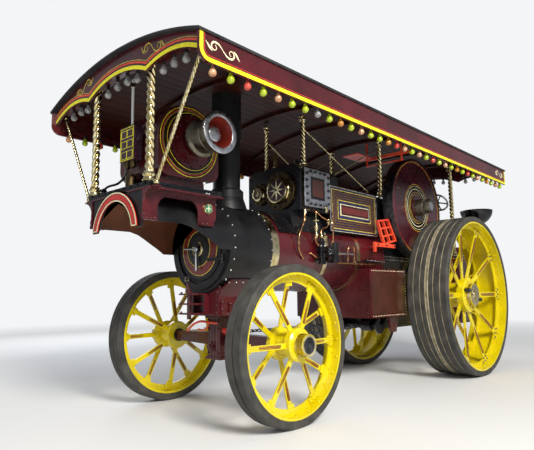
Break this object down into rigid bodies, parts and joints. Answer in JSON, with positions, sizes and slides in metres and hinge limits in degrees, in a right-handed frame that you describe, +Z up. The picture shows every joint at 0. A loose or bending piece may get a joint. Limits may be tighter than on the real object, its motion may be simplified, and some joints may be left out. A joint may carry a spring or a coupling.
{
  "type": "steam traction engine",
  "caption": "Steam road locomotive with a full canopy on twisted brass columns, spoked wheels on rubber tyres, a side flywheel and a dynamo carried ahead of the chimney.",
  "frame": {"origin": "on the ground under the middle of the bounding box, in the plane of symmetry of the wheels", "axes": "+X forward, +Y to the machine's left (flywheel side), +Z up"},
  "size_m": [6.619, 2.38, 3.29],
  "materials": {
    "maroon_paint": "gloss",
    "black_paint": "satin",
    "purple_paint": "gloss",
    "yellow_paint": "gloss",
    "red_paint": "gloss",
    "sign_red": "gloss",
    "tyre_rubber": "matt",
    "brass_metal": "polished",
    "bright_steel": "bright",
    "pulley_iron": "worn",
    "axle_steel": "dull",
    "roof_boards": "varnished",
    "lamp_glass": "tinted"
  },
  "bodies": {
    "engine": {"boiler_barrel": "maroon_paint", "boiler_bands": "brass_metal", "firebox": "black_paint", "smokebox": "black_paint", "smokebox_hood": "black_paint", "arch_sign": "sign_red", "chimney": "black_paint", "cylinder_block": "black_paint", "cylinder_covers": "brass_metal", "safety_valves": "brass_metal", "motion_boards": "purple_paint", "slide_motion": "bright_steel", "gear_guard": "maroon_paint", "belly_tank": "maroon_paint", "perch_bracket": "maroon_paint", "rear_axle": "axle_steel", "tender": "maroon_paint", "coal_bunker": "maroon_paint", "drawbar": "black_paint", "driver_seat": "maroon_paint", "hand_levers": "bright_steel", "steering_column": "black_paint", "steering_shaft": "black_paint", "steering_chains": "axle_steel", "dynamo_table": "black_paint", "table_brackets": "maroon_paint", "dynamo_body": "maroon_paint", "dynamo_box": "purple_paint", "roof": "roof_boards", "roof_frame": "roof_boards", "side_fascias": "maroon_paint", "end_fascias": "maroon_paint", "columns": "brass_metal", "stays": "brass_metal", "lamps": "lamp_glass", "feed_pump": "black_paint", "pipes": "brass_metal", "red_bracket": "red_paint", "roof_tray": "red_paint"},
    "front_axle_body": {"front_axle": "maroon_paint"},
    "front_wheel_left_body": {"front_wheel_left": "yellow_paint", "front_tyre_left": "tyre_rubber"},
    "front_wheel_right_body": {"front_wheel_right": "yellow_paint", "front_tyre_right": "tyre_rubber"},
    "rear_wheel_left_body": {"rear_wheel_left": "yellow_paint", "rear_tyre_left": "tyre_rubber"},
    "rear_wheel_right_body": {"rear_wheel_right": "yellow_paint", "rear_tyre_right": "tyre_rubber"},
    "crankshaft_body": {"crankshaft": "bright_steel", "flywheel": "maroon_paint"},
    "dynamo_pulley_body": {"dynamo_pulley": "pulley_iron"},
    "smokebox_door_body": {"smokebox_door": "black_paint"}
  },
  "joints": [
    {"name": "steering", "type": "hinge", "parent": "engine", "child": "front_axle_body", "pos_m": [2.0405, 0, 0.95], "axis": [0, 0, 1], "range_deg": [-26, 26], "deforming": ["steering_chains"]},
    {"name": "front_left_roll", "type": "hinge", "parent": "front_axle_body", "child": "front_wheel_left_body", "pos_m": [2.0405, 0.875, 0.678], "axis": [0, 1, 0], "continuous": true},
    {"name": "front_right_roll", "type": "hinge", "parent": "front_axle_body", "child": "front_wheel_right_body", "pos_m": [2.0405, -0.875, 0.678], "axis": [0, 1, 0], "continuous": true},
    {"name": "rear_left_roll", "type": "hinge", "parent": "engine", "child": "rear_wheel_left_body", "pos_m": [-1.5095, 0.9, 1.05], "axis": [0, 1, 0], "continuous": true},
    {"name": "rear_right_roll", "type": "hinge", "parent": "engine", "child": "rear_wheel_right_body", "pos_m": [-1.5095, -0.9, 1.05], "axis": [0, 1, 0], "continuous": true},
    {"name": "crankshaft_turn", "type": "hinge", "parent": "engine", "child": "crankshaft_body", "pos_m": [-0.9795, 0, 2.236], "axis": [0, 1, 0], "continuous": true},
    {"name": "dynamo_turn", "type": "hinge", "parent": "engine", "child": "dynamo_pulley_body", "pos_m": [2.6905, 0.58, 2.44], "axis": [0, 1, 0], "continuous": true},
    {"name": "smokebox_door_swing", "type": "hinge", "parent": "engine", "child": "smokebox_door_body", "pos_m": [2.3605, 0.352, 1.532], "axis": [0, 0, 1], "range_deg": [0, 70]}
  ]
}
